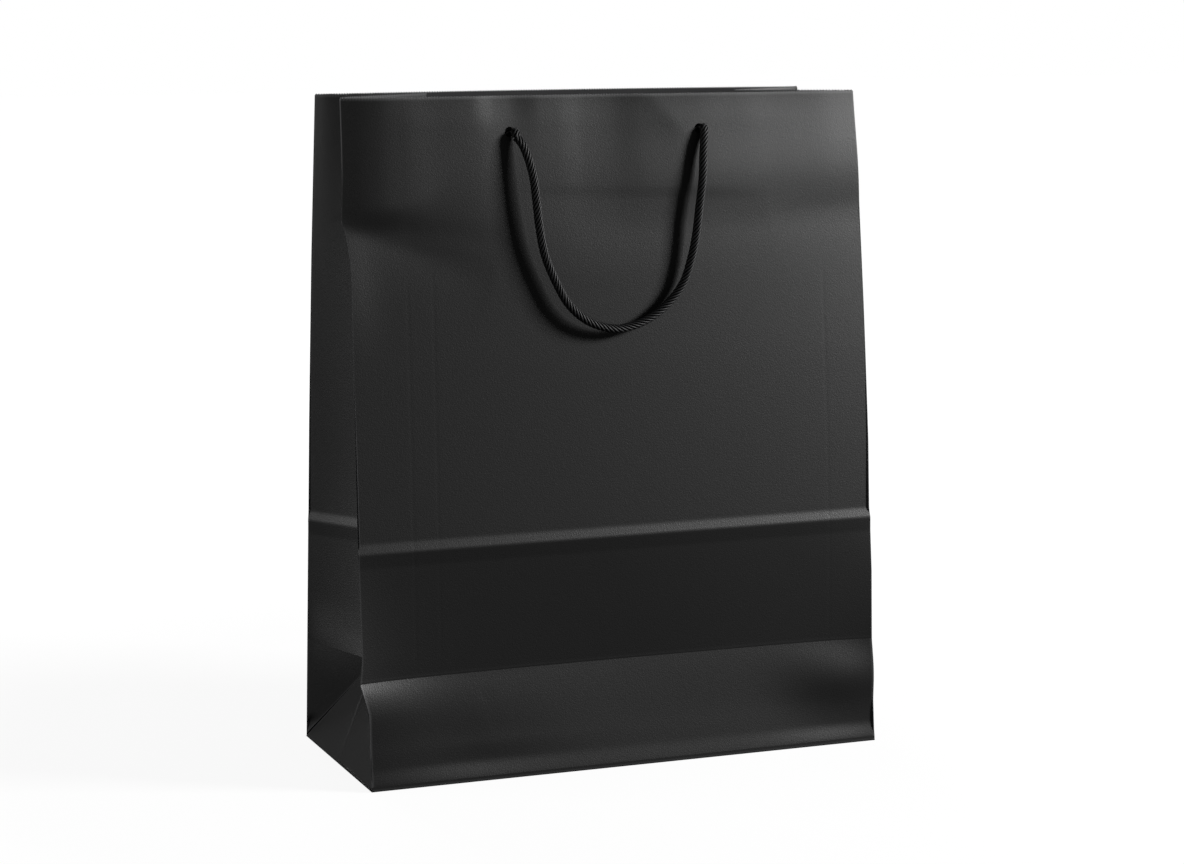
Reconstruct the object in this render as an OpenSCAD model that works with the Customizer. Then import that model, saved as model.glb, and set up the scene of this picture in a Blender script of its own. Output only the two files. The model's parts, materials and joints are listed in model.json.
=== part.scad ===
// Gusseted paper carrier for gift bottles: a block bottom, side gussets folded inward,
// a pinked (saw-toothed) mouth and two twisted rope handles knotted inside.
// Millimetres. The bag stands on z = 0, centred on the origin; the front panel faces -Y.
// It folds flat: the front is creased at fold_h and the bottom lies against the back panel.

/* [Bag] */
// Width of the front and back panels
bag_w = 320; // [260:1:400]
// Depth of the flat bottom
bag_d = 130; // [110:1:150]
// Height of the teeth's tips along the mouth
bag_h = 395; // [340:1:450]
// Distance between the front and back panels at the mouth, standing open
mouth_d = 64; // [54:1:84]
// Height of the fold line that runs round the bag above its bottom
fold_h = 63; // [52:0.5:70]
// Drop of that fold line at the middle of each gusset
gusset_dip = 2.6; // [1:0.1:5]

/* [Paper] */
// Thickness of the paper
paper_t = 0.4; // [0.3:0.05:0.5]
// Gap between neighbouring panels along a fold line
fold_gap = 0.3; // [0.2:0.05:0.5]
// Thickness of the glue between two layers
glue_t = 0.05; // [0.05:0.01:0.1]
// Clearance between layers that lie on each other when the bag is flat
layer_gap = 0.2; // [0.1:0.05:0.4]
// Pitch of the pinked teeth
tooth_pitch = 2.2; // [1.6:0.1:4]
// Depth of the pinked teeth
tooth_depth = 0.9; // [0.5:0.1:1.5]
// Width of the glued seam flap inside the front panel's right edge
seam_w = 25; // [15:1:30]

/* [Bottom] */
// Thickness of the card laid in the bottom
board_t = 0.6; // [0.4:0.1:1.2]
// Gap between the card's edges and the paper walls
board_gap = 2; // [1.5:0.1:4]
// Width of the lap where the two long bottom flaps are glued
lap_w = 24; // [16:1:36]
// Length of each end flap, inward from the side
end_flap_l = 60; // [40:1:65]
// Angle that the end flap's edges are cut back by
end_flap_cut = 12; // [5:1:20]

/* [Mouth cards] */
// Gap between the glued seam flap and the end of the stiffening card beside it
card_gap = 7; // [2:1:30]
// Height of each card
card_h = 60; // [40:1:70]
// Thickness of each card
card_t = 0.8; // [0.5:0.1:1.2]
// Distance from the teeth's roots down to the card
card_drop = 4; // [2:0.5:8]

/* [Rope handles] */
// Diameter of the twisted rope
rope_d = 5; // [4:0.5:6]
// Distance between a handle's two holes
hole_span = 120; // [100:1:140]
// Distance from the teeth's tips down to the holes' centres
hole_drop = 21; // [18:0.5:30]
// Clearance all round the rope in its punched hole
hole_gap = 0.5; // [0.3:0.1:1]
// Clearance between the hanging rope and the panel
rope_gap = 0.8; // [0.6:0.1:2]
// Diameter of the knot across the hole
knot_d = 11; // [10:0.5:12]
// Thickness of the knot, inward from the card
knot_t = 9; // [7:0.5:10]
// Length of the rope's end beyond the knot
tail_l = 9; // [5:0.5:12]
// Angle that the rope's end drops below level, away from the bag's middle
tail_drop = 45; // [0:5:60]

/* [Hidden] */
$fn = 48;

paper_colour = "#262626";
inside_colour = "#2e2e2e";
card_colour = "#6b655c";
rope_colour = "#1b1b1d";

// Lean of the front and back panels, and their length along that slope
lean = atan((bag_d - mouth_d) / 2 / bag_h);
panel_l = bag_h / cos(lean);
crease_l = fold_h / cos(lean);
root_l = panel_l - tooth_depth;

// Heights of the layers in the bottom, from the floor up
lap_z = paper_t + glue_t;
end_flap_z = lap_z + paper_t + glue_t;
board_z = end_flap_z + paper_t + glue_t;
side_hinge_z = board_z + board_t + layer_gap;
wall_z = side_hinge_z + 2 * paper_t + glue_t + layer_gap;
wall_l = wall_z / cos(lean);

// Handle holes along the panel, and the rope's line in front of it
hole_l = panel_l - hole_drop;
hole_d = rope_d + 2 * hole_gap;
rope_line = rope_d / 2 + rope_gap;
card_in = paper_t + glue_t + card_t;
card_w = bag_w - 2 * (seam_w + card_gap);

// The gusset: half its width, and how its rows are spaced up the bag
gusset_half = bag_d / 2;
gusset_rows = 5;
tooth_band = 2;
apex_z = fold_h - gusset_dip;

// Rope sides, and the loop's route: across, out from the rope's line, up from the holes
rope_sides = 10;
half_span = hole_span / 2;
route = [
    [-half_span, 0, 0], [-half_span + 2, 1.5, -6], [-57, 3.5, -14], [-55, 6, -25],
    [-53, 7.5, -39], [-52, 8.5, -54], [-49, 9, -70], [-43, 9, -86], [-35, 9, -100],
    [-25, 9, -109], [-14, 9, -114], [-3, 9, -115], [9, 9, -113], [21, 9, -108],
    [32, 9, -100], [39, 9, -90], [44, 9, -78], [48, 8.5, -64], [52, 7.5, -47],
    [55, 6, -29], [57, 3.5, -15], [half_span - 1, 1.5, -6], [half_span, 0, 0]
];

// Half the bag's depth at height z, and how far the gusset's centre fold reaches in there
function half_depth(z) = bag_d / 2 - z * tan(lean);
function fold_in(z) = sqrt(gusset_half * gusset_half - half_depth(z) * half_depth(z));
function unit(v) = v / norm(v);

// Points of a pinked edge from a to b, with whole teeth pointing up
function pinked(a, b, pitch) =
    let (n = max(1, round(norm(b - a) / pitch)))
    [for (i = [0 : 2 * n]) a + (b - a) * i / (2 * n) + (i % 2 == 1 ? [0, 0, tooth_depth] : [0, 0, 0])];

// The same edge in two dimensions
function pinked_2d(x0, x1, y) =
    [for (p = pinked([x0, 0, y], [x1, 0, y], tooth_pitch)) [p[0], p[2]]];

// A frame whose y = 0 plane is the front panel's outer face, z up along its slope
module front_frame() {
    translate([0, -bag_d / 2, 0]) rotate([-lean, 0, 0]) children();
}

module back_frame() {
    rotate([0, 0, 180]) front_frame() children();
}

// A flat sheet in that frame: its outline in x and z, its outer face at depth y0
module sheet(y0, thickness) {
    translate([0, y0 + thickness, 0]) rotate([90, 0, 0]) linear_extrude(thickness) children();
}

module handle_holes() {
    for (side = [-1, 1]) translate([side * half_span, hole_l]) circle(d = hole_d);
}

// ---------- Bottom: two long flaps glued over two end flaps, with a loose card on top ----------

// Long flap with a turned-up edge; the joggled one rides over the other along the lap
module long_flap(joggled) {
    wall_top = wall_z - fold_gap;
    edge = -bag_d / 2;
    inner = joggled ? lap_w / 2 : -lap_w / 2 - fold_gap;
    step = -lap_w / 2 - fold_gap - paper_t;
    upper = joggled ? lap_z : 0;
    profile = [
        [edge, 0], [step, 0], [step + paper_t, upper], [inner, upper], [inner, upper + paper_t],
        [step, upper + paper_t], [step - paper_t, paper_t], [edge + paper_t, paper_t],
        [edge + paper_t, wall_top], [edge, wall_top]
    ];
    plain = [
        [edge, 0], [lap_w / 2 - fold_gap, 0], [lap_w / 2 - fold_gap, paper_t],
        [edge + paper_t, paper_t], [edge + paper_t, wall_top], [edge, wall_top]
    ];
    translate([-bag_w / 2, 0, 0]) rotate([90, 0, 90]) linear_extrude(bag_w)
        polygon(joggled ? profile : plain);
}

module bottom_front_flap() color(paper_colour) long_flap(true);

module bottom_back_flap() color(paper_colour) rotate([0, 0, 180]) long_flap(false);

// End flap: a trapezium glued down inside, with its edge turned up at the side
module end_flap() {
    reach = bag_d / 2 - paper_t - fold_gap;
    cut = (end_flap_l - paper_t) * tan(end_flap_cut);
    wall = -bag_w / 2;
    translate([0, 0, end_flap_z]) linear_extrude(paper_t)
        polygon([
            [wall, -reach], [wall + end_flap_l, -reach + cut],
            [wall + end_flap_l, reach - cut], [wall, reach]
        ]);
    translate([wall, -reach, end_flap_z])
        cube([paper_t, 2 * reach, side_hinge_z - fold_gap - end_flap_z]);
}

module left_end_flap() color(paper_colour) end_flap();

module right_end_flap() color(paper_colour) mirror([1, 0, 0]) end_flap();

module bottom_board() color(card_colour)
    translate([0, 0, board_z]) linear_extrude(board_t)
        square([bag_w - 2 * (paper_t + board_gap), bag_d - 2 * (paper_t + board_gap)], center = true);

// ---------- Front and back panels ----------

module front_lower_panel() color(paper_colour)
    front_frame() sheet(0, paper_t)
        translate([-bag_w / 2, wall_l]) square([bag_w, crease_l - fold_gap / 2 - wall_l]);

// Panel from length z0 up to the pinked mouth, with its two rope holes
module pinked_panel(z0) {
    sheet(0, paper_t) difference() {
        polygon(concat([[bag_w / 2, z0], [-bag_w / 2, z0]], pinked_2d(-bag_w / 2, bag_w / 2, root_l)));
        handle_holes();
    }
}

module front_panel() color(paper_colour) front_frame() pinked_panel(crease_l + fold_gap / 2);

module back_panel() color(paper_colour) back_frame() pinked_panel(wall_l);

// Glued seam flap, cut and pinked with the panel that it is glued inside
module seam_flap() color(inside_colour)
    front_frame() sheet(paper_t + glue_t, paper_t)
        polygon(concat(
            [[bag_w / 2, crease_l + fold_gap / 2], [bag_w / 2 - seam_w, crease_l + fold_gap / 2]],
            pinked_2d(bag_w / 2 - seam_w, bag_w / 2, root_l)
        ));

module seam_flap_lower() color(inside_colour)
    front_frame() sheet(paper_t + glue_t, paper_t)
        polygon([
            [bag_w / 2, wall_l + seam_w / 2], [bag_w / 2, crease_l - fold_gap / 2],
            [bag_w / 2 - seam_w, crease_l - fold_gap / 2], [bag_w / 2 - seam_w, wall_l + seam_w]
        ]);

module mouth_card() {
    sheet(paper_t + glue_t, card_t) difference() {
        translate([-card_w / 2, root_l - card_drop - card_h]) square([card_w, card_h]);
        handle_holes();
    }
}

module front_mouth_card() color(card_colour) front_frame() mouth_card();

module back_mouth_card() color(card_colour) back_frame() mouth_card();

// ---------- Gussets: each half is a twisted sheet from a panel's edge to the centre fold ----------

// Point on the left edge of the front wall's inner face at height z, moved in by extra
function wall_edge(z, extra) = [-bag_w / 2 + paper_t / 2, -half_depth(z) + paper_t / cos(lean) + extra, z];
function centre_fold(z_in, z) = [-bag_w / 2 + fold_in(z), 0, z_in];

// A closed sheet from rows of two points each and a pinked top row, paper_t thick
module gusset_half_sheet(extra) {
    top = bag_h - tooth_depth;
    last = gusset_rows - 1;
    share = [for (i = [0 : last]) i / last];
    ends = [
        for (s = share)
            let (
                ze = (fold_h + fold_gap) * (1 - s) + (top - tooth_band) * s,
                zc = (apex_z + fold_gap) * (1 - s) + (top - tooth_band) * s,
                a = wall_edge(ze, extra),
                b = centre_fold(zc, ze),
                along = unit([b[0] - a[0], b[1] - a[1], 0])
            )
            [a + along * fold_gap, b - along * fold_gap - [0, fold_gap, 0]]
    ];
    up = [0, 0, tooth_band];
    teeth = pinked(ends[last][0] + up, ends[last][1] + up, tooth_pitch);
    turn = function (a, b) let (v = unit([b[0] - a[0], b[1] - a[1], 0])) [v[1], -v[0], 0] * paper_t / 2;
    layer = function (k) concat(
        [for (e = ends) for (p = e) p + k * turn(e[0], e[1])],
        [for (p = teeth) p + k * turn(ends[last][0], ends[last][1])]
    );
    rows = 2 * gusset_rows;
    count = rows + len(teeth);
    inner_face = concat(
        [for (i = [0 : last - 1]) each [
            [2 * i, 2 * i + 2, 2 * i + 3], [2 * i, 2 * i + 3, 2 * i + 1]
        ]],
        [for (root = [rows : 2 : count - 3]) each [
            [2 * last, root, root + 2], [root, root + 1, root + 2]
        ]],
        [[2 * last, count - 1, 2 * last + 1]]
    );
    outer_face = [for (f = inner_face) [for (j = [len(f) - 1 : -1 : 0]) f[j] + count]];
    rim = concat(
        [for (i = [0 : last]) 2 * i], [for (j = [0 : len(teeth) - 1]) rows + j],
        [for (i = [last : -1 : 0]) 2 * i + 1]
    );
    sides = [
        for (j = [0 : len(rim) - 1])
            let (a = rim[j], b = rim[(j + 1) % len(rim)])
            each [[a, a + count, b + count], [a, b + count, b]]
    ];
    polyhedron(concat(layer(1), layer(-1)), concat(inner_face, outer_face, sides), 4);
}

module left_gusset_front() color(inside_colour) gusset_half_sheet(0);

module left_gusset_back() color(inside_colour) mirror([0, 1, 0]) gusset_half_sheet(0);

module right_gusset_front() color(inside_colour) mirror([1, 0, 0]) gusset_half_sheet(paper_t + glue_t);

module right_gusset_back() color(inside_colour) mirror([1, 0, 0]) mirror([0, 1, 0]) gusset_half_sheet(0);

// ---------- Below the fold line: the side folds into a middle triangle and two corner ones ----------

// A triangular plate with its edges moved in by a margin
module triangle_plate(p, margin) {
    a = norm(p[1] - p[2]);
    b = norm(p[2] - p[0]);
    c = norm(p[0] - p[1]);
    centre = (a * p[0] + b * p[1] + c * p[2]) / (a + b + c);
    normal = cross(p[1] - p[0], p[2] - p[0]);
    inset = 1 - margin * (a + b + c) / norm(normal);
    flat = [for (q = p) centre + (q - centre) * inset];
    half = unit(normal) * paper_t / 2;
    polyhedron(
        concat([for (q = flat) q - half], [for (q = flat) q + half]),
        [[0, 1, 2], [5, 4, 3], [0, 3, 4, 1], [1, 4, 5, 2], [2, 5, 3, 0]]
    );
}

// Tilt and slope length of the middle triangle, hinged on the bottom's side edge
side_tilt = atan((fold_in(fold_h) - paper_t) / (apex_z - side_hinge_z));
side_l = (apex_z - side_hinge_z) / cos(side_tilt);
side_half = bag_d / 2 - paper_t - 2 * fold_gap;

module side_triangle() {
    translate([-bag_w / 2 + paper_t, 0, side_hinge_z]) rotate([0, side_tilt, 0])
        translate([-paper_t, 0, 0]) rotate([90, 0, 90]) linear_extrude(paper_t)
            polygon([
                [-side_half, 0], [side_half, 0], [2 * fold_gap, side_l - 2 * fold_gap],
                [-2 * fold_gap, side_l - 2 * fold_gap]
            ]);
}

module left_side_triangle() color(paper_colour) side_triangle();

module right_side_triangle() color(paper_colour) mirror([1, 0, 0]) side_triangle();

module corner_triangle(extra) {
    foot = wall_z + 2 * fold_gap;
    triangle_plate([wall_edge(foot, extra), centre_fold(apex_z, fold_h), wall_edge(fold_h, extra)], 2 * fold_gap);
}

module left_corner_front() color(paper_colour) corner_triangle(0);

module left_corner_back() color(paper_colour) mirror([0, 1, 0]) corner_triangle(0);

module right_corner_front() color(paper_colour) mirror([1, 0, 0]) corner_triangle(paper_t + glue_t);

module right_corner_back() color(paper_colour) mirror([1, 0, 0]) mirror([0, 1, 0]) corner_triangle(0);

// ---------- Rope handles ----------

// Tube along a route, one ring of points at each of its points
module rope_tube(points, radius, sides) {
    last = len(points) - 1;
    rings = [
        for (i = [0 : last])
            let (
                t = i == 0 || i == last ? [0, 0, i == 0 ? -1 : 1]
                    : unit(points[i + 1] - points[i - 1]),
                u = unit(cross(t, [0, 1, 0])),
                v = cross(u, t)
            )
            for (k = [0 : sides - 1])
                points[i] + radius * (cos(360 * k / sides) * u + sin(360 * k / sides) * v)
    ];
    walls = [
        for (i = [0 : last - 1]) for (k = [0 : sides - 1])
            let (a = i * sides + k, b = i * sides + (k + 1) % sides)
            each [[a, b, b + sides], [a, b + sides, a + sides]]
    ];
    polyhedron(
        rings,
        concat(
            walls,
            [[for (k = [sides - 1 : -1 : 0]) k]],
            [[for (k = [0 : sides - 1]) last * sides + k]]
        ),
        4
    );
}

module rope_loop() {
    rope_tube([for (p = route) [p[0], -rope_line - p[1], hole_l + p[2]]], rope_d / 2, rope_sides);
}

module front_rope() color(rope_colour) front_frame() rope_loop();

module back_rope() color(rope_colour) back_frame() rope_loop();

// Rope through the hole, the knot that holds it inside and the end below the knot
module knot() {
    stub_out = rope_gap - fold_gap;
    translate([0, card_in + layer_gap, hole_l]) rotate([-90, 0, 0]) rotate_extrude()
        hull() for (y = [knot_t / 4, knot_t * 3 / 4]) intersection() {
            translate([knot_d / 2 - knot_t / 4, y]) circle(knot_t / 4);
            square([knot_d, knot_t]);
        }
    translate([0, -stub_out, hole_l]) rotate([-90, 0, 0])
        cylinder(d = rope_d, h = stub_out + card_in + knot_t / 2);
    translate([0, card_in + layer_gap + knot_t / 2, hole_l]) rotate([0, 90 + tail_drop, 0])
        cylinder(d = rope_d, h = tail_l + knot_d / 2);
}

module knots() {
    translate([half_span, 0, 0]) knot();
    mirror([1, 0, 0]) translate([half_span, 0, 0]) knot();
}

module front_knots() color(rope_colour) front_frame() knots();

module back_knots() color(rope_colour) back_frame() knots();

bottom_front_flap();
bottom_back_flap();
left_end_flap();
right_end_flap();
bottom_board();
front_lower_panel();
front_panel();
seam_flap();
seam_flap_lower();
front_mouth_card();
back_panel();
back_mouth_card();
left_gusset_front();
left_gusset_back();
right_gusset_front();
right_gusset_back();
left_side_triangle();
right_side_triangle();
left_corner_front();
left_corner_back();
right_corner_front();
right_corner_back();
front_rope();
back_rope();
front_knots();
back_knots();
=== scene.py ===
import json
import math

import bpy
import numpy as np
from mathutils import Matrix, Vector


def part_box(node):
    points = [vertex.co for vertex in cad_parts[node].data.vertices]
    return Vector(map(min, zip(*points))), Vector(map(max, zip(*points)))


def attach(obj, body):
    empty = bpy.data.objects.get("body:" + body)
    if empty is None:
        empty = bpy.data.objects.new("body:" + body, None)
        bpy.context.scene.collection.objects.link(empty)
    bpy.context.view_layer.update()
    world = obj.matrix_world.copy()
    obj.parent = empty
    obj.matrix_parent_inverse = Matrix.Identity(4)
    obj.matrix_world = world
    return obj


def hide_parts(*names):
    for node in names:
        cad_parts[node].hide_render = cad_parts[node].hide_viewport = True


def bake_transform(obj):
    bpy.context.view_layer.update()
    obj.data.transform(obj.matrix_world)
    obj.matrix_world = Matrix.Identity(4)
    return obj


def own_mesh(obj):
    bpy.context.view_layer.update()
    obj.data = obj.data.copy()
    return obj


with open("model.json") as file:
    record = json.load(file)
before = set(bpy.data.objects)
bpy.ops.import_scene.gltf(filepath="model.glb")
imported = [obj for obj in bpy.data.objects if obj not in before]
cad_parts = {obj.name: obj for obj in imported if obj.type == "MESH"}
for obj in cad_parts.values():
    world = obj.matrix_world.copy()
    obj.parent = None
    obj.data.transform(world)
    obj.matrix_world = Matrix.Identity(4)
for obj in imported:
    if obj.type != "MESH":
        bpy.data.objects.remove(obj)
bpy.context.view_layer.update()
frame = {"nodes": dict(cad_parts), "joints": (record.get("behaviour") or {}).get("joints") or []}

# Lengths below are in millimetres, and become metres where a mesh is made.

# ---------- Camera ----------
# A long portrait lens, standing off to the bag's left and a little above its mouth, tipped down
# towards the middle of the front panel.
camera_place = (-655.0, -1707.6, 510.5)
camera_turn, camera_tip, camera_roll = 20.995, 9.935, 0.173

camera_lens = bpy.data.cameras.new("camera")
camera_lens.lens = 93.93
camera_lens.sensor_width = 36
camera = bpy.data.objects.new("camera", camera_lens)
camera.matrix_world = (
    Matrix.Translation([c / 1000 for c in camera_place])
    @ Matrix.Rotation(-math.radians(camera_turn), 4, "Z")
    @ Matrix.Rotation(math.radians(90 - camera_tip), 4, "X")
    @ Matrix.Rotation(math.radians(camera_roll), 4, "Z")
)
bpy.context.collection.objects.link(camera)
bpy.context.scene.camera = camera

# ---------- Rope handles ----------
# Two loops of twisted black rope, 5 mm thick. Seven strands are laid up left-handed round a soft core,
# and each loop hangs in front of its panel from two punched holes, where it is knotted inside.
rope_d = 5.0
strands = 7
lay_length = 19.6
rope_step = 0.6
half_d = 65.0  # half the bag's depth at the floor
lean = math.radians(4.7756)  # how far the long walls lean inward
hole_up = 375.376  # the holes' height, measured up the wall's slope
rope_line = rope_d / 2 + 0.8  # how far out of the wall the rope leaves its holes
# The rope's middle line: how far across, how far out and how far up from the line through its two ends.
rope_route = [
    (-61, 0, -2.9), (-58.8, 1.5, -6), (-55.8, 3.5, -14), (-53.3, 5, -25), (-51.9, 5.5, -39),
    (-50.5, 5.5, -54), (-47.7, 5.2, -70), (-41.5, 5.2, -86), (-33.6, 5.4, -100), (-25, 5.5, -108.2),
    (-14, 5.2, -113.5), (-3, 4.8, -115.3), (9, 4.4, -113.3), (21, 4, -107.8), (31, 3.8, -100),
    (38.8, 4.1, -90), (43.4, 4.5, -78), (46.9, 4.8, -64), (49.7, 4.6, -47), (52.5, 4.2, -29),
    (54, 2.6, -15), (55.4, 0.9, -6), (56, 0, -2.9),
]


def linear(hex_colour):
    """The linear colour of an sRGB hex value such as "#1b1b1d"."""
    srgb = [int(hex_colour[i:i + 2], 16) / 255 for i in (1, 3, 5)]
    return [c / 12.92 if c <= 0.04045 else ((c + 0.055) / 1.055) ** 2.4 for c in srgb] + [1]


def add(tree, kind, links=(), **settings):
    """Adds a node of that kind to the tree. Settings are its properties, or its inputs by name; links are
    (input name or number, output socket) pairs."""
    node = tree.nodes.new("ShaderNode" + kind)
    for key, value in settings.items():
        socket = next((s for s in node.inputs if s.name.replace(" ", "_") == key), None)
        if socket is None:
            setattr(node, key, value)
        else:
            socket.default_value = value
    for key, output in links:
        tree.links.new(output, node.inputs[key])
    return node


def bare_material(name):
    """A material of that name with no nodes yet: (material, its node tree)."""
    material = bpy.data.materials.new(name)
    material.use_nodes = True
    material.node_tree.nodes.clear()
    return material, material.node_tree


def smooth_path(points, step):
    """Points every step along a smooth curve through the given ones: cubic pieces, whose tangent at each
    point is the slope between its neighbours over the distance along the chords."""
    points = np.array(points, float)
    along = np.concatenate([[0], np.cumsum(np.linalg.norm(np.diff(points, axis=0), axis=1))])
    slope = np.gradient(points, along, axis=0)
    place = np.linspace(0, along[-1], int(round(along[-1] / step)) + 1)
    piece = np.clip(np.searchsorted(along, place, "right") - 1, 0, len(along) - 2)
    span = (along[piece + 1] - along[piece])[:, None]
    t = (place - along[piece])[:, None] / span
    return (
        (1 + 2 * t) * (1 - t) ** 2 * points[piece] + t * (1 - t) ** 2 * span * slope[piece]
        + t * t * (3 - 2 * t) * points[piece + 1] - t * t * (1 - t) * span * slope[piece + 1]
    )


def new_piece(name, points, faces, materials, fields=None, finish=None):
    """An object at the origin from points in millimetres and faces, with smooth shading that breaks at
    edges sharper than 40 degrees. fields are values at the points, kept as attributes by name; finish
    gives each group of faces its place in materials."""
    faces = [np.asarray(f) for f in faces]
    used = np.unique(np.concatenate([f.ravel() for f in faces]))
    new_index = np.zeros(len(points), int)
    new_index[used] = np.arange(len(used))
    mesh = bpy.data.meshes.new(name)
    corners = np.concatenate([new_index[f].ravel() for f in faces])
    sizes = np.concatenate([np.full(len(f), f.shape[1]) for f in faces])
    mesh.vertices.add(len(used))
    mesh.vertices.foreach_set("co", (points[used] * 0.001).ravel())
    mesh.loops.add(len(corners))
    mesh.loops.foreach_set("vertex_index", corners)
    mesh.polygons.add(len(sizes))
    mesh.polygons.foreach_set("loop_start", np.concatenate([[0], np.cumsum(sizes)[:-1]]))
    mesh.update(calc_edges=True)
    for key, values in (fields or {}).items():
        attribute = mesh.attributes.new(key, "FLOAT", "POINT")
        attribute.data.foreach_set("value", values[used].astype(np.float32))
    mesh.shade_smooth()
    mesh.set_sharp_from_angle(angle=math.radians(40))
    for material in materials:
        mesh.materials.append(material)
    if finish:
        index = np.concatenate([np.full(len(f), k) for f, k in zip(faces, finish)]).astype(np.int32)
        mesh.polygons.foreach_set("material_index", index)
    piece = bpy.data.objects.new(name, mesh)
    bpy.context.collection.objects.link(piece)
    return piece


def twisted_rope(name, path, material):
    """A rope along path. Its section is a ring of lobes, one to a strand: the radius is a core and a
    flattened arc, the root of 1 minus the squared distance from the strand's crest. The ring turns
    left-handed by one turn in each lay length."""
    ring_points = strands * 10
    core, lobe = 0.58, 0.42
    tangent = np.gradient(path, axis=0)
    tangent /= np.linalg.norm(tangent, axis=1, keepdims=True)
    side = np.cross(tangent, [0, 1, 0])
    side /= np.linalg.norm(side, axis=1, keepdims=True)
    out = np.cross(side, tangent)
    run = np.concatenate([[0], np.cumsum(np.linalg.norm(np.diff(path, axis=0), axis=1))])
    angle = np.arange(ring_points) / ring_points * 2 * math.pi
    from_crest = 1 - np.abs(2 * np.mod(angle * strands / (2 * math.pi) + 0.5, 1) - 1)
    radius = rope_d / 2 * (core + lobe * np.sqrt(1 - 0.97 * from_crest ** 2))
    turned = angle[None] - 2 * math.pi * run[:, None] / lay_length
    ring = np.cos(turned)[..., None] * side[:, None] + np.sin(turned)[..., None] * out[:, None]
    points = (path[:, None] + radius[None, :, None] * ring).reshape(-1, 3)
    rings = len(path)
    index = np.arange(rings * ring_points).reshape(rings, ring_points)
    ahead = np.roll(index, -1, axis=1)
    walls = np.stack([index[:-1], ahead[:-1], ahead[1:], index[1:]], -1).reshape(-1, 4)
    ends = [index[:1, ::-1], index[-1:]]
    # crest is 0 in the grooves and 1 on the strands' crowns; the rope's material paints shade into the
    # grooves by it.
    crest = np.tile((radius - radius.min()) / np.ptp(radius), rings)
    return new_piece(name, points, [walls] + ends, [material], {"crest": crest})


def from_wall(points, back):
    """Places beside the front wall, given as (across, inward from its outer face, up its slope), in the
    bag's own axes: turned by the lean about the wall's foot. For the back wall, also turned half round."""
    across, inward, up = np.asarray(points, float).T
    y = -half_d + inward * math.cos(lean) + up * math.sin(lean)
    z = up * math.cos(lean) - inward * math.sin(lean)
    return np.stack([-across, -y, z] if back else [across, y, z], -1)


# Polypropylene yarn, extruded and twisted: the strands' crowns catch thin lines of light, and the grooves
# between them are painted nearly black, as shade, and given less specular. Its fibres are drawn 0.4 mm
# apart, coarser than real, so that they show.
rope_material, tree = bare_material("black_polypropylene_rope")
crest = add(tree, "Attribute", attribute_name="crest")
# Painted shade: the colour goes from the rope's own black on the crowns to near-black in the grooves.
tone = add(tree, "ValToRGB", [("Fac", crest.outputs["Fac"])])
groove_shade, crown = tone.color_ramp.elements
groove_shade.position, groove_shade.color = 0.35, linear("#050505")
crown.position, crown.color = 0.95, linear("#0e0e0f")
shine = add(tree, "MapRange", [("Value", crest.outputs["Fac"])],
            From_Min=0.6, From_Max=1.0, To_Min=0.0, To_Max=0.3)
place = add(tree, "TexCoord").outputs["Object"]
fibre = add(tree, "TexNoise", [("Vector", place)], Scale=2500.0, Detail=2.0)
bump = add(tree, "Bump", [("Height", fibre.outputs["Fac"])], Strength=0.4, Distance=0.0001)
shader = add(tree, "BsdfPrincipled", [
    ("Base Color", tone.outputs["Color"]), ("Specular IOR Level", shine.outputs["Result"]),
    ("Normal", bump.outputs["Normal"])], Roughness=0.55)
add(tree, "OutputMaterial", [("Surface", shader.outputs["BSDF"])])

for end, back in (("front", False), ("back", True)):
    beside = [(x, -rope_line - out, hole_up + up) for x, out, up in rope_route]
    path = smooth_path(from_wall(beside, back), rope_step)
    rope = twisted_rope(f"{end}_rope_loop", path, rope_material)
    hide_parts(f"{end}_rope")
    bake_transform(rope)

# ---------- Front panel ----------
# The tube of the bag is one sheet of black-dyed kraft paper, 0.4 mm thick. The front panel is its part
# above the fold line: it bows a little, is pinked at the mouth, and keeps the marks of its folds, of the
# glued seam and of the card inside the mouth.
paper = 0.4
half_w = 1000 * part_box("front_panel")[1][0]
bag_h = 1000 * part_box("front_panel")[1][2]
fold_h = 63.0
tooth_depth = 0.9
columns = 380  # two to a tooth
hole_r = rope_d / 2 + 0.5
holes = (-60.5, 57.0)
hole_z = hole_up * math.cos(lean)
bow_depth = 8.3
pale_edge_band = 0.6  # how far in from a folded edge its fibres are worn and a highlight is painted

# Kraft paper calendered on this face: a dull sheen over fibres 0.8 mm apart, and a mottle of about 11 mm
# where the dye took unevenly. Where the attribute read below is above 0, the colour goes to pale fibres:
# worn fibres under the dye, and along the folded edges, the fold line and the creases also a painted
# highlight.
worn_fibre_and_highlight = linear("#6f6f70")
paper_material, tree = bare_material("black_kraft_paper")
place = add(tree, "TexCoord").outputs["Object"]
mottle = add(tree, "TexNoise", [("Vector", place)], Scale=90.0, Detail=4.0, Roughness=0.6)
tone = add(tree, "ValToRGB", [("Fac", mottle.outputs["Fac"])])
tone.color_ramp.elements[0].color = linear("#060606")
tone.color_ramp.elements[1].color = linear("#090909")
worn_and_highlit = add(tree, "Attribute", attribute_name="wear_and_highlight")
colour = add(tree, "Mix", [("Factor", worn_and_highlit.outputs["Fac"]), (6, tone.outputs["Color"])],
             data_type="RGBA")
colour.inputs[7].default_value = worn_fibre_and_highlight
fibre = add(tree, "TexNoise", [("Vector", place)], Scale=1300.0, Detail=3.0, Roughness=0.6)
bump = add(tree, "Bump", [("Height", fibre.outputs["Fac"])], Strength=0.5, Distance=0.0002)
shader = add(tree, "BsdfPrincipled", [
    ("Base Color", colour.outputs[2]), ("Normal", bump.outputs["Normal"])],
    Roughness=0.45, Specular_IOR_Level=0.45)
add(tree, "OutputMaterial", [("Surface", shader.outputs["BSDF"])])

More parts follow.
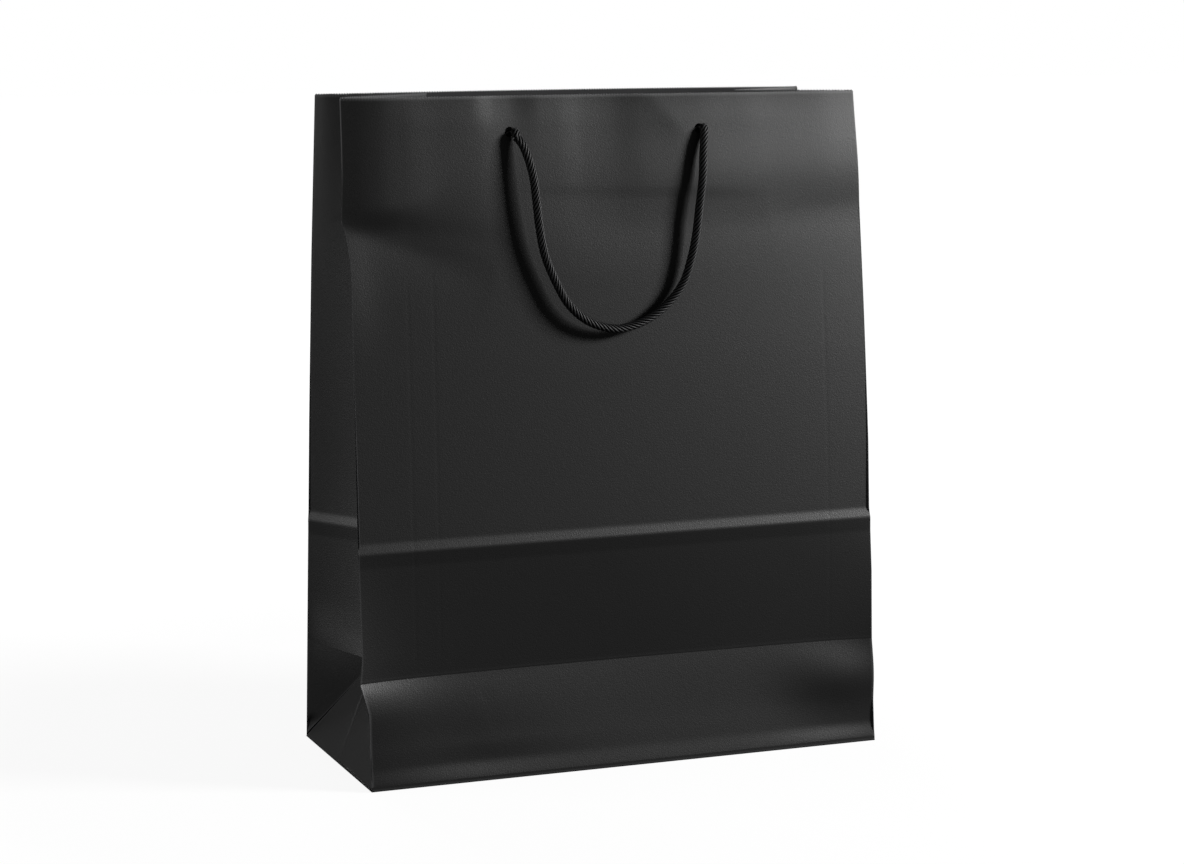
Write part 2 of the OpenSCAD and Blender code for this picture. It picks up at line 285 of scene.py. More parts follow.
# The sheet's felt side isn't calendered, so it is duller and a little greyer, with a grain of 1.4 mm.
inside_material, tree = bare_material("black_kraft_paper_felt_side")
place = add(tree, "TexCoord").outputs["Object"]
grain = add(tree, "TexNoise", [("Vector", place)], Scale=700.0, Detail=3.0)
tone = add(tree, "ValToRGB", [("Fac", grain.outputs["Fac"])])
tone.color_ramp.elements[0].color = linear("#1d1d1e")
tone.color_ramp.elements[1].color = linear("#252526")
# Worn fibres, and along the folds and creases a painted highlight, as on the calendered face.
worn_and_highlit = add(tree, "Attribute", attribute_name="wear_and_highlight")
colour = add(tree, "Mix", [("Factor", worn_and_highlit.outputs["Fac"]), (6, tone.outputs["Color"])],
             data_type="RGBA")
colour.inputs[7].default_value = worn_fibre_and_highlight
shader = add(tree, "BsdfPrincipled", [("Base Color", colour.outputs[2])],
             Roughness=0.7, Specular_IOR_Level=0.2)
add(tree, "OutputMaterial", [("Surface", shader.outputs["BSDF"])])
both_sides = [paper_material, inside_material]


def ramp(value, low, high):
    """0 below low, 1 above high, and a smooth step t*t*(3 - 2t) between them."""
    t = np.clip((value - low) / (high - low), 0, 1)
    return t * t * (3 - 2 * t)


def faded(distance, width):
    """1 at no distance and less beyond: e to the minus square of the distance over that width."""
    return np.exp(-(distance / width) ** 2)


def mound(x, z, x0, z0, wide, tall):
    """A smooth mound of height 1 at (x0, z0): e to the minus squared distance over those two widths."""
    return np.exp(-((x - x0) / wide) ** 2 - ((z - z0) / tall) ** 2)


def furrow(x, z, start, end, wide):
    """A valley of depth 1 along the line from start to end: e to the minus distance from it over its
    width, fading towards the far end."""
    line = np.subtract(end, start)
    t = np.clip(((x - start[0]) * line[0] + (z - start[1]) * line[1]) / (line @ line), 0, 1)
    away = np.hypot(x - start[0] - t * line[0], z - start[1] - t * line[1])
    return np.exp(-np.hypot(away, 4) / wide) * (1 - t * t)


def kink(x, z):
    """The dent where the front left fold was once nipped: a valley running in from the fold, and the paper
    swollen out under it."""
    return 1.5 * mound(x, z, -166, 286, 16, 32) - 2.2 * furrow(x, z, (-163, 324), (-75, 290), 13)


def folded_edge(side_x, side_y, z):
    """Where the upright fold at that corner stands at height z: (across, depth from the middle). Both are
    straight between a few heights, as the folds of a bag that has been opened and stood up."""
    if side_y < 0 and side_x < 0:
        sway = np.interp(z, [0, 45, 62, 75, 140, 300, 311, 317, 321, 324.5, 334, 354, 395],
                         [-1, -.3, 3.8, 2.4, 3.2, .7, 1.7, 2.3, 3.2, 4.8, 4.2, 3.5, 3.1])
    elif side_y < 0:
        sway = np.interp(z, [0, 63, 105, 140, 185, 265, 325, 395],
                         [.9, .25, .2, -.9, -.1, -.6, -1.4, -3.4])
    elif side_x < 0:
        sway = np.interp(z, [0, 63, 200, 300, 395], [1.4, 1.6, 2.7, 2.9, 2.4])
    else:
        sway = np.interp(z, [0, 63, 300, 360, 395], [1, .3, -2, -8, -16])
    if side_y < 0:
        depth = np.interp(z, [0, fold_h, 138, 395], [half_d, 59.74, 56.2, 27.5])
    else:
        depth = np.interp(z, [0, fold_h, 395], [half_d, 59.74, 25.5])
    if side_x < 0 and side_y < 0:
        depth = depth + kink(-half_w, z)
    return side_x * (half_w + sway), side_y * depth


def second_fold(z):
    """The fold 70 mm above the fold line: the sheet leans out over 8 mm, drops back over the next 5.5 mm,
    and comes back to its even bow slowly; straight between those heights."""
    return np.interp(z, [129.5, 137.8, 143.4, 240], [0, 0.6, -0.7, 0])


def first_fold(x, z):
    """How far the wall is pushed in at the fold line: 5 mm, and 1.4 mm more about the middle, less near
    its ends by the sixth power of the place across; straight from there down to the floor and up to the
    second fold."""
    depth = (5.0 + 1.4 * faded(x + 15, 75)) * (1 - (x / half_w) ** 6)
    return -depth * np.interp(z, [3, fold_h, 138], [0, 1, 0])


# How far the front's mouth stands out, by place across, from the straight line between its corners.
mouth_line = smooth_path([
    (-160, 0), (-150, 2.85), (-140, 4.55), (-125, 5.55), (-105, 5.6), (-80, 5.4), (-61, 4.3), (-42, 4.1),
    (-30, 3.7), (-14, 2.8), (3, 2.6), (20, 3.3), (30, 3.6), (45, 4.0), (60, 4.1), (75, 3.8), (90, 3.4),
    (105, 2.8), (120, 2.2), (140, 1.3), (160, 0),
], 1.0)


def front_relief(x, z):
    """How far the front panel stands out from its even bow. The mouth follows its own line, rolled at the
    left and slack at the middle, and the rest is a sum of flutes, valleys and imprints."""
    free = ramp(x, -130, -60)
    own = ramp(z, 318 - 30 * free, 334 + 60 * free)
    mouth = np.interp(x, mouth_line[:, 0], mouth_line[:, 1]) - bow_depth * (1 - (x / half_w) ** 2)
    out = own * mouth + (1 - own) * second_fold(z)
    # The nipped fold at the left; what it moves the fold itself fades out across the panel.
    out = out + kink(x, z) - kink(-half_w, z) * (1 - x / half_w) / 2
    # The paper swells over the card, is fluted at the left hole, and its mouth is tipped in.
    out = out + 1.4 * (ramp(z, 314, 350) - ramp(z, 350, 395)) * ramp(x, -45, 30)
    out = out - 0.6 * (ramp(x, -84, -69) - ramp(x, -60, -42)) * ramp(z, 370, 396)
    out = out - 0.5 * ramp(z, 377, 396) * ramp(x, -140, -110) * (1 - ramp(x, 95, 140))
    # Valleys run in from both folds under the card, and a soft crest down from the mouth.
    out = out - 0.9 * furrow(x, z, (-120, 322), (-60, 308), 12)
    out = out - 0.7 * furrow(x, z, (163, 328), (100, 322), 9)
    out = out + 0.8 * furrow(x, z, (22, 398), (56, 364), 10)
    # The card's lower edge presses a step into the paper.
    step = ramp(z + 0.03 * x, 336, 341) * (1 - ramp(z, 345, 380))
    out = out + 0.3 * step * (1 - ramp(np.abs(x - 20), 40, 90))
    # Two faint upright lines at the left and the glued seam's at the right are pressed in as well.
    for imprint in (-127, -112, 133):
        out = out - 0.035 * faded(x - imprint, 0.8) * (1 - ramp(z, 270, 310))
    lip = 0.05 * faded(z - fold_h - 1.0, 0.6)
    return out * ramp(z, fold_h, fold_h + 10) + first_fold(x, z) + lip


def bow(x, z):
    """How far a panel's middle swells past its folded edges: a parabola across, growing from nothing at
    the fold line as the height above it squared."""
    return bow_depth * np.clip((z - fold_h) / (bag_h - fold_h), 0, 1) ** 2 * (1 - (x / half_w) ** 2)


def sag(side_y, across, z):
    """How far the mouth is out of level there, growing from the bag's middle height; across is from -1
    to 1."""
    middle, tilt = (-0.3, -1.0) if side_y < 0 else (-1.2, -0.7)
    return (middle + tilt * across) * np.clip((z - 200) / (bag_h - 200), 0, 1)


def wall(x, z, side_y, relief):
    """Outer face of a long wall: between its two folded edges, out by the bow and by its relief."""
    left_x, left_y = folded_edge(-1, side_y, z)
    right_x, right_y = folded_edge(1, side_y, z)
    share = (x / half_w + 1) / 2
    return np.stack([
        left_x + (right_x - left_x) * share,
        left_y + (right_y - left_y) * share + side_y * (bow(x, z) + relief(x, z)),
        z + sag(side_y, x / half_w, z),
    ], -1)


def moved_in(outer, depth):
    """A grid's points moved in along its normals by depth; rows run up and columns to the right, as seen
    from outside."""
    normal = np.cross(np.gradient(outer, axis=1), np.gradient(outer, axis=0))
    normal /= np.linalg.norm(normal, axis=2, keepdims=True)
    return outer - normal * depth


def sheet_piece(name, outer, inner, materials, fields=None, gone=None):
    """A closed sheet between two grids of points: quads on both faces, and a wall round every edge, also
    round the cells that are gone. The outer face has the first material, and the rest the last one."""
    rows, cols = outer.shape[:2]
    kept = np.ones((rows - 1, cols - 1), bool) if gone is None else ~gone
    index = np.arange(rows * cols).reshape(rows, cols)
    corners = np.stack([index[:-1, :-1], index[:-1, 1:], index[1:, 1:], index[1:, :-1]], -1)
    front = corners[kept]
    count = rows * cols
    faces = [front, front[:, ::-1] + count]
    padded = np.pad(kept, 1)
    beyond = (padded[:-2, 1:-1], padded[1:-1, 2:], padded[2:, 1:-1], padded[1:-1, :-2])
    for k, neighbour in enumerate(beyond):
        edge = corners[kept & ~neighbour]
        p, q = edge[:, k], edge[:, (k + 1) % 4]
        faces.append(np.stack([q, p, p + count, q + count], -1))
    points = np.concatenate([outer.reshape(-1, 3), inner.reshape(-1, 3)])
    both = {key: np.tile(np.broadcast_to(v, (rows, cols)).ravel(), 2) for key, v in (fields or {}).items()}
    last = len(materials) - 1
    return new_piece(name, points, faces, materials, both, [0] + [last] * (len(faces) - 1))


def punched(x, z, centres):
    """Moves the grid's points near each hole from squares about it onto rings, the innermost ring on the
    hole's edge, and finds the cells inside: (x, z, which cells are gone)."""
    inner, outer = 2.4, 8.0
    cell_corners = ((0, 0), (0, 1), (1, 0), (1, 1))
    gone = np.zeros((x.shape[0] - 1, x.shape[1] - 1), bool)
    for centre in centres:
        dx, dz = x - centre, z - hole_z
        square = np.maximum(np.abs(dx), np.abs(dz))
        from_centre = np.hypot(dx, dz) + 1e-9
        share = 1 - ramp(square, inner, outer)
        ring_r = from_centre * (1 - share) + share * (hole_r + square - inner)
        middle_x, middle_z = ((d[:-1, :-1] + d[1:, 1:]) / 2 for d in (dx, dz))
        here = np.maximum(np.abs(middle_x), np.abs(middle_z)) < inner
        touched = np.zeros(x.shape, bool)
        for r, c in cell_corners:
            touched[r:r + here.shape[0], c:c + here.shape[1]] |= here
        inside = touched.copy()
        for r, c in cell_corners:
            inside[r:r + here.shape[0], c:c + here.shape[1]] &= here
        ring_r = np.where(touched & ~inside, hole_r, ring_r)
        near = square < outer
        x = np.where(near, centre + dx / from_centre * ring_r, x)
        z = np.where(near, hole_z + dz / from_centre * ring_r, z)
        gone |= here
    return x, z, gone


def pinked_grid():
    """The grid of a pinked panel: even columns across, and rows up it that are closer at the folds, the
    holes and the mouth, where every second point of the last row is a tooth's tip: (x, z)."""
    x = np.linspace(-half_w, half_w, columns + 1)
    z = fold_h + np.concatenate([
        np.arange(0, 3, 0.5), np.arange(3, 64, 3.5), np.arange(64, 84, 1.0), np.arange(84, 240, 6),
        np.arange(240, 302, 3), np.arange(302, 322, 1.0), [324, 327, 329.6, bag_h - fold_h - tooth_depth],
    ])
    x, z = np.meshgrid(x, z)
    z[-1] += tooth_depth * (np.arange(columns + 1) % 2)
    return x, z


def teeth_wear(z):
    """Pale worn fibres on the teeth, growing over their height and 0.4 mm below it."""
    return 0.5 * ramp(z, bag_h - tooth_depth - 0.4, bag_h)


def edge_wear_and_highlight(x, z):
    """Pale marks: along the folded edges worn fibres and a painted highlight, brightest near the mouth; a
    thin painted highlight just above the fold line; worn fibres on the teeth.
    """
    folds = (np.abs(x) > half_w - pale_edge_band) * (0.14 - 0.08 * ramp(z, 100, 180) + 0.5 * ramp(z, 335, 375))
    # A painted highlight along the crease just above the fold line.
    line = 0.02 * faded(z - fold_h - 1, 0.3)
    return np.clip(folds + line + teeth_wear(z), 0, 1)


# The long walls' normals, and the line that the front folds about, with its mirror at the back.
wall_normal = (0, math.cos(lean), -math.sin(lean))
back_normal = (0, -math.cos(lean), -math.sin(lean))
fold_line = next(tuple(joint["pos_m"]) for joint in frame["joints"] if joint["name"] == "front_crease_fold")
back_line = (0, -fold_line[1], fold_line[2])
flat_x, flat_z = pinked_grid()
x, z, gone = punched(flat_x, flat_z, holes)
front_face = wall(x, z, -1, front_relief)
front_panel = sheet_piece("front_panel_sheet", front_face, moved_in(front_face, paper), both_sides,
                          {"wear_and_highlight": edge_wear_and_highlight(x, z)}, gone)
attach(front_panel, "front_upper")
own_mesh(front_panel)
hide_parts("front_panel")

# ---------- Back panel ----------
# The same sheet behind, pinked and punched in the same way and bowed out as far as the front. It keeps
# only the marks of its two level folds, and its edge at the right curls in towards the mouth.


def back_relief(x, z):
    """How far the back panel stands out from its even bow: only the second fold."""
    return 0.5 * second_fold(z) * ramp(z, fold_h, fold_h + 10)


back_holes = (-holes[1], -holes[0])
x, z, gone = punched(flat_x, flat_z, back_holes)
back_face = wall(x, z, 1, back_relief)[:, ::-1]
back_panel = sheet_piece("back_panel_sheet", back_face, moved_in(back_face, paper), both_sides,
                         {"wear_and_highlight": (edge_wear_and_highlight(x, z) * (z < bag_h - 2))[:, ::-1]}, gone[:, ::-1])
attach(back_panel, "back")
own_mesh(back_panel)
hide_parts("back_panel")

# ---------- Strips and bottom flaps ----------
# Below the fold line the same sheet goes down to the floor, turns under and makes the two long flaps of
# the block bottom, which are lapped and glued.
strip_foot = 3.0
bend_r = 1.0
lap_turn = 14.0  # how far from the bottom's middle line each flap's free edge is turned back
lap_points = 8
strip_x = np.linspace(-half_w, half_w, columns // 2 + 1)


def plain(x, z):
    """No relief."""
    return 0 * x


def strip_relief(x, z):
    """How far the front strip stands out: swollen under both ends of the fold line, curling out again
    towards the floor, and creased a little left of its middle."""
    under = 1 - np.exp(-(fold_h - z) / 8)
    out = under * (2.8 * mound(x, z, -158, 58, 40, 26) + 3.4 * mound(x, z, 140, 42, 30, 18))
    foot = 0.5 + faded(x + 98, 42) + faded(x - 140, 42)
    out = out - foot * ramp(z, strip_foot - 1, 13) * (1 - ramp(z, 24, 58))
    out = out + 0.9 * np.exp(-np.hypot(x + 86, 6) / 45) * ramp(z, 10, 24) * ramp(fold_h - z, 0, 30)
    out = out - 0.3 * furrow(x, z, (-87, 50), (-80, 20), 2.5) * ramp(fold_h - z, 0, 12)
    return out * ramp(z, strip_foot, strip_foot + 1.5) + first_fold(x, z)


def flap_piece(name, side_y, lap_y, lap_z):
    """A long flap and the foot of the wall above it: a profile from the free edge to its turn, back along
    the floor, round the bend and up, drawn across the bag. The flap's ends lie on the line from the front
    fold to the back one."""
    turn_y, flat_y = -lap_turn * side_y, half_d - bend_r
    floor_y = np.concatenate([
        np.linspace(lap_y, turn_y, lap_points)[:-1], np.linspace(turn_y, side_y * flat_y, 14)])
    floor_z = np.where(np.arange(len(floor_y)) < lap_points - 1, lap_z, 0.0)
    fx, fy = np.meshgrid(strip_x, floor_y)
    share = (fy / flat_y + 1) / 2
    left, right = (
        folded_edge(side_x, -1, 0)[0] * (1 - share) + folded_edge(side_x, 1, 0)[0] * share
        for side_x in (-1, 1))
    flat = np.stack([left + (right - left) * (fx / half_w + 1) / 2, fy,
                     np.broadcast_to(floor_z[:, None], fx.shape)], -1)

    turn = np.linspace(0, 1, 6) * math.pi / 2
    gx, gz = np.meshgrid(strip_x, np.concatenate([bend_r * (1 - np.cos(turn)), [2, 2.5, strip_foot]]))
    upright = wall(gx, gz, side_y, plain)
    upright[:6, :, 1] -= side_y * bend_r * (1 - np.sin(turn))[:, None]

    outer = np.concatenate([flat, upright])
    if side_y > 0:
        outer = outer[:, ::-1]
    # Pale line on the fold round the floor: worn fibres and a painted highlight.
    wear_and_highlight = 0.12 * (np.abs(outer[..., 2] - 0.6) < 0.5)
    flap = sheet_piece(name, outer, moved_in(outer, paper), both_sides, {"wear_and_highlight": wear_and_highlight})
    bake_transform(flap)
    return flap


def strip_piece(name, side_y, relief, body):
    """The strip of a long wall from just above the floor up to the fold line: the wall's outer face on a
    grid, closer at both folds, and its inner face a sheet's thickness behind."""
    gx, gz = np.meshgrid(strip_x, np.concatenate([
        np.arange(strip_foot, 16, 1), np.arange(16, 56, 2), np.arange(56, fold_h, 1), [fold_h]]))
    outer = wall(gx, gz, side_y, relief)
    if side_y > 0:
        outer = outer[:, ::-1]
    # Pale line on the folded edges: worn fibres and a painted highlight.
    wear_and_highlight = 0.2 * (np.abs(gx) > half_w - pale_edge_band)
    strip = sheet_piece(name, outer, moved_in(outer, paper), both_sides, {"wear_and_highlight": wear_and_highlight})
    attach(strip, body)
    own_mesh(strip)
    return strip


front_flap = flap_piece("front_flap_sheet", -1, 12, 0.45)
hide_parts("bottom_front_flap")
back_flap = flap_piece("back_flap_sheet", 1, -11.7, 0.0)
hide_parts("bottom_back_flap")
front_strip = strip_piece("front_strip_sheet", -1, strip_relief, "front_lower")
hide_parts("front_lower_panel")
back_strip = strip_piece("back_strip_sheet", 1, plain, "back")
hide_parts("back_panel")

# ---------- Gussets ----------
# Each side of the tube is folded inward along a centre fold, so the side is two narrow walls that lean
# into the bag and meet at that fold; they are pinked with the panels.
gusset_w = 65.0
gusset_columns = 78
fold_gap_x, fold_gap_y = 0.1, 0.2  # what keeps a side sheet clear of the walls at their shared fold
dip_depth = 2.6  # how much lower the fold line is at the centre fold


def centre_fold(side_x, z):
    """The gusset's inner fold at height z, a gusset wall's width from both folded edges: halfway between
    them, and inward by the root of that width squared less half their distance squared."""
    front_x, front_y = folded_edge(side_x, -1, z)
    back_x, back_y = folded_edge(side_x, 1, z)
    half_apart = (back_y - front_y) / 2
    reach = np.sqrt(np.maximum(gusset_w ** 2 - half_apart ** 2, 0))
    return (front_x + back_x) / 2 - side_x * reach, (front_y + back_y) / 2


def gusset_point(side_x, side_y, t, z, swell):
    """Outer face of a gusset wall: straight from the folded edge (t = 0) to the centre fold (t = 1),
    swollen out near the folded edge and dying away to the centre, with the fold line dipping there."""
    edge_x, edge_y = folded_edge(side_x, side_y, z)
    fold_x, fold_y = centre_fold(side_x, z)
    along = np.stack([fold_x - edge_x, fold_y - edge_y])
    normal = np.stack([np.abs(along[1]) * side_x, -np.abs(along[0]) * side_y]) / gusset_w
    out = swell * (1 - np.exp(-gusset_w * t / 4)) * (1 - t) + 0.7 * second_fold(z)
    out = out + 1.6 * (1 - np.exp(-gusset_w * t / 6)) * (1 - t) * (1 - ramp(z, fold_h, 92))
    dip = dip_depth * t * (1 - ramp(z, fold_h, 120))
    return np.stack([
        edge_x + along[0] * t + normal[0] * out - side_x * fold_gap_x,
        edge_y + along[1] * t + normal[1] * out - side_y * fold_gap_y,
        z - dip + sag(side_y, side_x, z) * (1 - t) + sag(-1, side_x, z) * t,
    ], -1)


heights = flat_z[:, 0].copy()
heights[-1] = bag_h - tooth_depth
for side_x, side in ((-1, "left"), (1, "right")):
    for side_y, end, body, axis, anchor in (
            (-1, "front", "front_upper", wall_normal, fold_line),
            (1, "back", "back", back_normal, back_line)):
        t, gz = np.meshgrid(np.linspace(0, 1, gusset_columns), heights)
        gz[-1] += tooth_depth * (np.arange(gusset_columns) % 2)
        outer = gusset_point(side_x, side_y, t, gz, 0.8 + 1.6 * ramp(gz, 200, 395))
        # Worn fibres on the teeth; on the folded edge, worn fibres and a painted highlight.
        wear_and_highlight = teeth_wear(gz) + 0.12 * (t < 0.01)
        if side_x * side_y > 0:
            outer, wear_and_highlight = outer[:, ::-1], wear_and_highlight[:, ::-1]
        gusset = sheet_piece(f"{side}_gusset_{end}_sheet", outer, moved_in(outer, paper), both_sides,
                             {"wear_and_highlight": wear_and_highlight})
        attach(gusset, body)
        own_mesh(gusset)
        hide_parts(f"{side}_gusset_{end}")

# ---------- Corner and side triangles ----------
# Under the fold line the side of the sheet is folded into a middle triangle, hinged on the bottom's edge
# and leaning in, and two corner triangles that join it to the walls.
side_foot = 2.0


for side_x, side in ((-1, "left"), (1, "right")):
    top_x, top_y = centre_fold(side_x, fold_h)
    apex = np.array([top_x, top_y, fold_h - dip_depth])
    for side_y, end, body, axis, anchor in (
            (-1, "front", "front_lower", wall_normal, fold_line),
            (1, "back", "back", back_normal, back_line)):
        # Up (r) from the foot, and across (t) from the folded edge to the crease that ends at the apex.
        foot = np.array([*folded_edge(side_x, side_y, side_foot), side_foot])
        r, t = np.meshgrid(np.linspace(0.02, 1, 30), np.linspace(0, 1, 30), indexing="ij")
        edge_z = side_foot + (fold_h - side_foot) * r
        edge_x, edge_y = folded_edge(side_x, side_y, edge_z)
        edge_line = np.stack([edge_x - side_x * fold_gap_x, edge_y - side_y * fold_gap_y, edge_z], -1)
        crease = foot + (apex - foot) * r[..., None]
        outer = edge_line * (1 - t[..., None]) + crease * t[..., None]
        curl = 3.0 * (1 - np.exp(-gusset_w * t * r / 12)) * (1 - t) * np.sin(math.pi * r * r)
        pocket = 4.0 * faded(r - 0.12, 0.06) * np.sin(math.pi * t) ** 2 * (side_y > 0)
        outer[..., 1] -= side_y * (curl - pocket)
        # Pale lines on the folded edge and down the crease to the apex: worn fibres and a painted
        # highlight; on the back corners it is strong and lightens the shade in the crease's gap.
        crease_wear_and_highlight = 0.17 if side_y > 0 else 0.02
        wear_and_highlight = 0.1 * (t < 0.01) + crease_wear_and_highlight * faded((t - 1) * gusset_w * r, 0.8)
        if side_x * side_y > 0:
            outer, wear_and_highlight = outer[:, ::-1], wear_and_highlight[:, ::-1]
        corner = sheet_piece(f"{side}_corner_{end}_sheet", outer, moved_in(outer, paper), both_sides,
                             {"wear_and_highlight": wear_and_highlight})
        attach(corner, body)
        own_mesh(corner)
        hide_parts(f"{side}_corner_{end}")

    # Up (r) from the bottom's edge to the apex, and along that edge (t) from front to back, with a shallow
    # valley down its middle.
    r, t = np.meshgrid(np.linspace(0, 0.985, 40), np.linspace(-1, 1, 61), indexing="ij")
    front_x, front_y = folded_edge(side_x, -1, side_foot)
    back_x, back_y = folded_edge(side_x, 1, side_foot)
    share = (t + 1) / 2
    base = np.stack([front_x + (back_x - front_x) * share, front_y + (back_y - front_y) * share,
                     np.full(t.shape, 0.3)], -1)
    outer = base + (apex - base) * r[..., None]
    valley = 0.45 * np.exp(-np.abs(t * gusset_w) / 2.0) * np.sin(math.pi * r)
    outer[..., 0] += side_x * (0.3 - valley)
    # Pale line on the folded edges: worn fibres and a painted highlight.
    wear_and_highlight = 0.1 * (np.abs(t) > 0.985)
    if side_x < 0:
        outer, wear_and_highlight = outer[:, ::-1], wear_and_highlight[:, ::-1]
    triangle = sheet_piece(f"{side}_side_sheet", outer, moved_in(outer, paper), both_sides, {"wear_and_highlight": wear_and_highlight})
    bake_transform(triangle)
    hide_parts(f"{side}_side_triangle")

# ---------- Glued seam flap ----------
# The tube's one glued seam: a 25 mm tab of the sheet, stuck inside the front's right edge from the floor
# to the mouth. It is cut through at the fold line, so that the front can fold there.
glue = 0.05
tab_edge = 135  # where the tab's free edge is
tab_x = np.linspace(tab_edge, half_w - 0.6, 24)
upper_z = np.concatenate([np.arange(fold_h + 0.3, bag_h - 2, 3.0), [bag_h - 1.6]])
lower_z = np.linspace(18, fold_h - 0.3, 24)
for node, body, tab_z, relief in (
        ("seam_flap", "front_upper", upper_z, front_relief),
        ("seam_flap_lower", "front_lower", lower_z, strip_relief)):
    gx, gz = np.meshgrid(tab_x, tab_z)
    face = wall(gx, gz, -1, relief)
    seam = sheet_piece(f"{node}_sheet", moved_in(face, paper + glue), moved_in(face, 2 * paper + glue),
                       both_sides, {"wear_and_highlight": 0 * gx})
    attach(seam, body)
    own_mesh(seam)
    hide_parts(node)

# ---------- Mouth cards ----------
# Two strips of grey board 0.8 mm thick, glued inside the mouth of each panel and punched with it, so that
# the rope can't tear the paper.
card = 0.8
card_half_w = 128
card_rows = np.concatenate([
    np.linspace(330.2, 364, 14)[:-1], np.arange(364, 384, 1.0), np.linspace(384, 390, 4)])

# Greyboard, pressed from waste paper and not coated: quite matt, flecked with fibres about 2 mm apart.
card_material, tree = bare_material("greyboard")
place = add(tree, "TexCoord").outputs["Object"]
fleck = add(tree, "TexNoise", [("Vector", place)], Scale=500.0, Detail=5.0, Roughness=0.7)
tone = add(tree, "ValToRGB", [("Fac", fleck.outputs["Fac"])])
dark, pale = tone.color_ramp.elements
dark.position, dark.color = 0.35, linear("#5d5850")
pale.position, pale.color = 0.65, linear("#77716a")
shader = add(tree, "BsdfPrincipled", [("Base Color", tone.outputs["Color"])], Roughness=0.85)
add(tree, "OutputMaterial", [("Surface", shader.outputs["BSDF"])])

for side_y, end, body, axis, anchor, relief, centres in (
        (-1, "front", "front_upper", wall_normal, fold_line, front_relief, holes),
        (1, "back", "back", back_normal, back_line, back_relief, back_holes)):
    gx, gz = np.meshgrid(np.linspace(-card_half_w, card_half_w, 233), card_rows)
    gx, gz, gone = punched(gx, gz, centres)
    face = wall(gx, gz, side_y, relief)
    if side_y > 0:
        face, gone = face[:, ::-1], gone[:, ::-1]
    stiff = sheet_piece(f"{end}_mouth_board", moved_in(face, paper + glue),
                        moved_in(face, paper + glue + card), [card_material], gone=gone)
    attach(stiff, body)
    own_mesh(stiff)
    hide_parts(f"{end}_mouth_card")

# ---------- Knots ----------
# Each end of the rope goes in through its hole and is tied behind the card in an overhand knot, whose
# short tail points down and outward. It is the same rope, bent, so it has the same strands.
card_face = 1.6  # from the wall's outer face to just behind the card
knot_depth = 4.6  # from there to the knot's middle
knot_r = 1.55
tail_run = np.linspace(2, 10.2, 10)
for end, back in (("front", False), ("back", True)):
    lines = []
    for hole, hand, (exit_x, _, exit_up) in ((holes[0], -1, rope_route[0]), (holes[1], 1, rope_route[-1])):
        # Straight through the hole, then a quarter turn down to where the loop begins.
        elbow_r = -exit_up
        turn = np.linspace(0, math.pi / 2, 8)
        through = np.linspace(card_face + 4, elbow_r - rope_line, 6)
        lines.append(np.concatenate([
            np.stack([np.full(6, hole), through, np.full(6, hole_up)], -1)[:-1],
            np.stack([hole + (exit_x - hole) * np.sin(turn), -rope_line + elbow_r * (1 - np.sin(turn)),
                      hole_up - elbow_r * (1 - np.cos(turn))], -1),
        ]))
        # A trefoil: twice round the hole, in and out three times.
        a = np.linspace(0, 2 * math.pi, 90)
        wide = knot_r * (2 + np.cos(3 * a))
        lines.append(np.stack([
            hole + wide * np.cos(2 * a), card_face + knot_depth + 1.9 * np.sin(3 * a),
            hole_up + wide * np.sin(2 * a)], -1))
        lines.append(np.stack([
            hole + hand * tail_run, np.full(10, card_face + knot_depth), hole_up - tail_run], -1))
    for i, line in enumerate(lines):
        knot = twisted_rope(f"{end}_knot_{i}", smooth_path(from_wall(line, back), rope_step), rope_material)
        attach(knot, "back" if back else "front_upper")
    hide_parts(f"{end}_knots")

# ---------- Board in the bottom, and the end flaps under it ----------
# A loose greyboard card lies on the bottom's glued flaps, and the sheet's two short end flaps lie between
# them. All three are flat and plain, so their solids stay, in the materials of the card and the paper.
for name, finish in (("bottom_board", card_material), ("left_end_flap", paper_material),
                     ("right_end_flap", paper_material)):
    node = frame["nodes"][name]
    node.data.materials.clear()
    node.data.materials.append(finish)

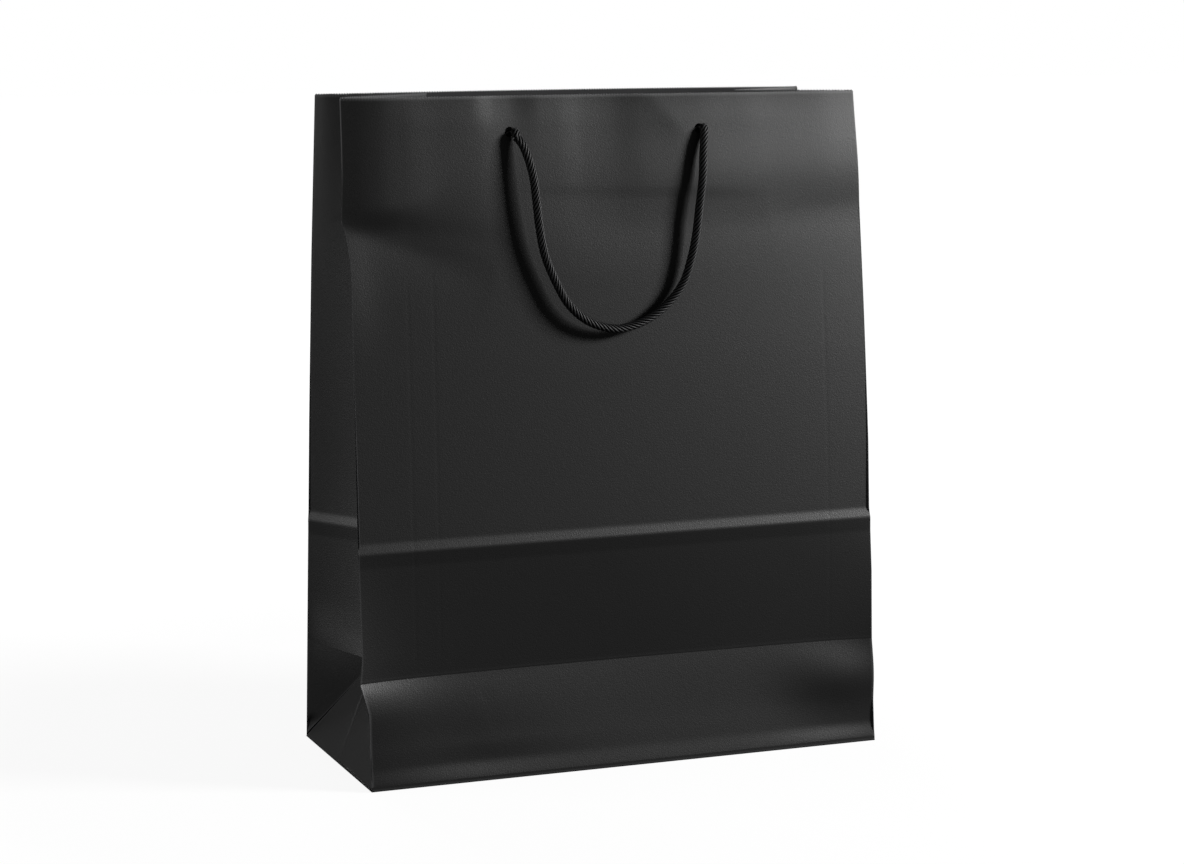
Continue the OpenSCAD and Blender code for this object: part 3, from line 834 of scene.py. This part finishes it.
# ---------- Floor ----------
# A wide white floor of painted board. To the camera it is nearly white, and quite white from 1 m away, and
# it keeps the bag's shadow; to other rays it is dark, so that it throws no light up on the paper.
reach = 6.0
floor_mesh = bpy.data.meshes.new("floor")
floor_mesh.from_pydata(
    [(-reach, -reach, 0), (reach, -reach, 0), (reach, reach, 0), (-reach, reach, 0)], [], [(0, 1, 2, 3)])
floor = bpy.data.objects.new("floor", floor_mesh)
bpy.context.collection.objects.link(floor)
floor_material, tree = bare_material("white_sweep")
matt = add(tree, "BsdfDiffuse", Color=(0.07, 0.07, 0.07, 1))
spread = add(tree, "VectorMath", [(0, add(tree, "TexCoord").outputs["Object"])], operation="LENGTH")
far = add(tree, "MapRange", [("Value", spread.outputs["Value"])],
          From_Min=0.35, From_Max=1.0, To_Min=0.91, To_Max=1.0)
glow = add(tree, "Emission", [("Strength", far.outputs["Result"])], Color=(1, 1, 1, 1))
seen = add(tree, "AddShader", [(0, matt.outputs["BSDF"]), (1, glow.outputs["Emission"])])
ray = add(tree, "LightPath")
mix = add(tree, "MixShader", [
    (0, ray.outputs["Is Camera Ray"]), (1, matt.outputs["BSDF"]), (2, seen.outputs["Shader"])])
add(tree, "OutputMaterial", [("Surface", mix.outputs["Shader"])])
floor_mesh.materials.append(floor_material)

# ---------- Light ----------
# A white studio: a weak, even world, a small key lamp at the right that rakes the front panel, a weak fill
# at the left, and two broad lamps for the left side and the back.
world = bpy.data.worlds.new("studio")
bpy.context.scene.world = world
world.use_nodes = True
tree = world.node_tree
tree.nodes.clear()
room = add(tree, "Background", Color=(1, 1, 1, 1), Strength=0.06)
white = add(tree, "Background", Color=(1, 1, 1, 1), Strength=1.0)
ray = add(tree, "LightPath")
mix = add(tree, "MixShader", [
    (0, ray.outputs["Is Camera Ray"]), (1, room.outputs["Background"]), (2, white.outputs["Background"])])
add(tree, "OutputWorld", [("Surface", mix.outputs["Shader"])])


def soft_box(name, turn, height, size, power):
    """An area lamp 2.2 metres from the bag's middle, turned that many degrees to the right of its front
    and raised by height degrees, facing the middle; size in metres, power in watts."""
    away, middle = 2.2, Vector((0, 0, 0.2))
    turn, height = math.radians(turn), math.radians(height)
    aim = Vector((math.sin(turn) * math.cos(height), -math.cos(turn) * math.cos(height), math.sin(height)))
    lamp = bpy.data.lights.new(name, "AREA")
    lamp.shape = "RECTANGLE"
    lamp.size, lamp.size_y = size
    lamp.energy = power
    holder = bpy.data.objects.new(name, lamp)
    facing = aim.to_track_quat("Z", "Y").to_matrix().to_4x4()
    holder.matrix_world = Matrix.Translation(aim * away + middle) @ facing
    bpy.context.collection.objects.link(holder)


soft_box("key", 61, 23.3, (0.54, 0.44), 100)
soft_box("fill", -57, 2, (1.0, 1.0), 9.5)
soft_box("side", -105, 15, (1.0, 1.0), 20)
soft_box("rear", -175, 20, (1.0, 1.0), 24)

bpy.context.scene.view_settings.view_transform = "Standard"
